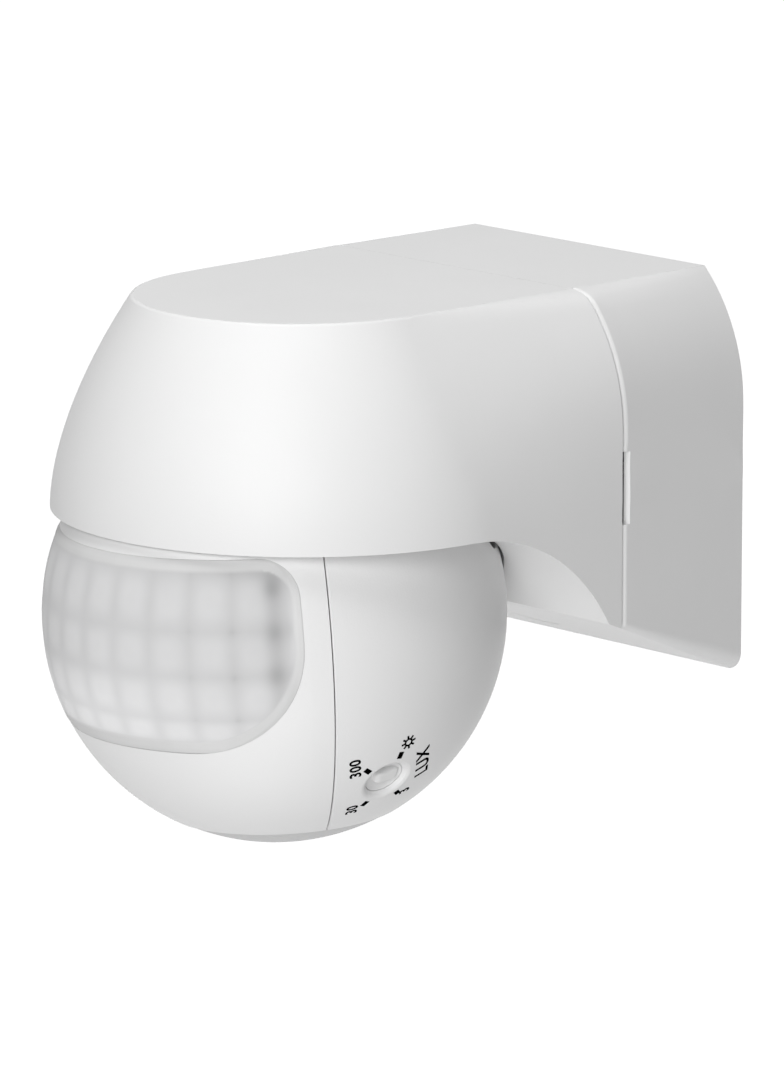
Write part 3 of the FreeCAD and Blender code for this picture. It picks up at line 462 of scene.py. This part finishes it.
def dial_marks(name, side, labels):
    """Print ticks and labels round one knob.

    Each label is a place in the dial's frame, in millimetres, with a flat outline of points and faces.
    """
    outward = on_ball(side * KNOB_LONGITUDE, KNOB_LATITUDE, 1.0)
    east = Vector((0, 0, 1)).cross(outward).normalized()
    north = outward.cross(east)
    lean = DIAL_LEAN if side > 0 else math.pi - DIAL_LEAN
    up = east * math.cos(lean) + north * math.sin(lean)
    along = up.cross(outward)
    shapes = [
        ((0, 0), bar(TICK_LENGTH, TICK_WIDTH, math.radians(angle), TICK_START))
        for angle in TICK_ANGLES
    ]
    shapes += labels
    mesh = bmesh.new()
    for (shift_x, shift_y), (points, faces) in shapes:
        layers = []
        for lift in (MARK_LIFT, -MARK_DEPTH):
            layer = []
            for x, y in points:
                flat = along * ((x + shift_x) * MM) + up * ((y + shift_y) * MM)
                rise = math.sqrt(BALL_RADIUS ** 2 - flat.length_squared)
                spot = (outward * rise + flat).normalized() * (BALL_RADIUS + lift)
                layer.append(mesh.verts.new(HEAD @ spot))
            layers.append(layer)
        # An edge that only one face uses is on the outline, and gets a side wall.
        border = {}
        for face in faces:
            mesh.faces.new([layers[0][index] for index in face])
            mesh.faces.new([layers[1][index] for index in reversed(face)])
            for first, second in zip(face, face[1:] + face[:1]):
                border[(first, second)] = (second, first) not in border
                if not border[(first, second)]:
                    border[(second, first)] = False
        for (first, second), open_edge in border.items():
            if open_edge:
                mesh.faces.new((
                    layers[0][second], layers[0][first], layers[1][first], layers[1][second]))
    result = bpy.data.meshes.new(name)
    mesh.to_mesh(result)
    mesh.free()
    return add_piece(name, result, "head", print_ink, smooth=False)


print_ink = moulded("print_ink", (0.001, 0.001, 0.001), 0.6, Specular_IOR_Level=0.0)
dial_marks("lux_marks", 1, [
    ((5.2, 4.9), text_outline("300")),
    ((-4.85, 4.95), text_outline("30")),
    ((-5.3, -3.6), text_outline("3")),
    ((6.4, -3.6), sun_outline()),
    ((0.1, -6.25), text_outline("LUX", 2.4)),
])
dial_marks("time_marks", -1, [
    ((5.2, 4.9), text_outline("4", squeeze=0.8)),
    ((-4.85, 4.95), text_outline("1", squeeze=0.8)),
    ((-5.6, -3.4), text_outline("10s", squeeze=0.8)),
    ((5.6, -3.4), text_outline("7", squeeze=0.8)),
    ((0.0, -6.35), text_outline("TIME", 2.2, 0.9)),
])

# -------------------------------------------------------------- floor, lights

FLOOR_SIZE = 60.0
FLOOR_LEVEL = -1.3
FLOOR_GLOW = 0.85
WORLD_STRENGTH = 0.246
AIM = Vector((0, -0.045, -0.0076))


def build_floor():
    """A wide pale floor far below the sensor."""
    half = FLOOR_SIZE / 2
    mesh = bpy.data.meshes.new("floor")
    mesh.from_pydata(
        [(-half, -half, 0), (half, -half, 0), (half, half, 0), (-half, half, 0)], [], [(0, 1, 2, 3)])
    floor = bpy.data.objects.new("floor", mesh)
    floor.location = (0, 0, FLOOR_LEVEL)
    scene.collection.objects.link(floor)
    paint, _, principled = shader("floor_paint", (0.9, 0.9, 0.9), 0.9)
    principled.inputs["Emission Color"].default_value = (1, 1, 1, 1)
    principled.inputs["Emission Strength"].default_value = FLOOR_GLOW
    mesh.materials.append(paint)
    floor.visible_diffuse = False


def area_light(name, spot, size, power):
    """A round soft light that faces the sensor."""
    lamp = bpy.data.lights.new(name, "AREA")
    lamp.shape = "DISK"
    lamp.size = size
    lamp.energy = power
    rig = bpy.data.objects.new(name, lamp)
    rig.location = spot
    rig.rotation_euler = (AIM - Vector(spot)).to_track_quat("-Z", "Y").to_euler()
    scene.collection.objects.link(rig)


build_floor()
area_light("key_light", (0.44, -0.85, 0.35), 0.5, 5.1)
area_light("top_light", (0.0, -0.16, 1.1), 0.7, 7.3)
area_light("fill_light", (0.6, -0.6, -0.6), 0.6, 2.6)
area_light("under_light", (0.15, -0.35, -1.0), 0.7, 1.3)

world = bpy.data.worlds.new("studio")
world.use_nodes = True
background = world.node_tree.nodes["Background"]
background.inputs["Color"].default_value = (1, 1, 1, 1)
background.inputs["Strength"].default_value = WORLD_STRENGTH
scene.world = world
scene.view_settings.view_transform = "Standard"

# --------------------------------------------------------------------- camera

AZIMUTH = math.radians(46.64)
ELEVATION = math.radians(12.15)
DISTANCE = 1.1825
SIDE_SHIFT = 0.00351
FOCAL_LENGTH = 273.3
SENSOR_WIDTH = 36
towards = Vector((
    math.sin(AZIMUTH) * math.cos(ELEVATION),
    -math.cos(AZIMUTH) * math.cos(ELEVATION),
    math.sin(ELEVATION)))
across = Vector((math.cos(AZIMUTH), math.sin(AZIMUTH), 0))
target = AIM + across * SIDE_SHIFT
optics = bpy.data.cameras.new("camera")
optics.lens = FOCAL_LENGTH
optics.sensor_width = SENSOR_WIDTH
optics.clip_start = 0.01
optics.clip_end = 100
camera = bpy.data.objects.new("camera", optics)
camera.location = target + towards * DISTANCE
camera.rotation_euler = (-towards).to_track_quat("-Z", "Y").to_euler()
scene.collection.objects.link(camera)
scene.camera = camera
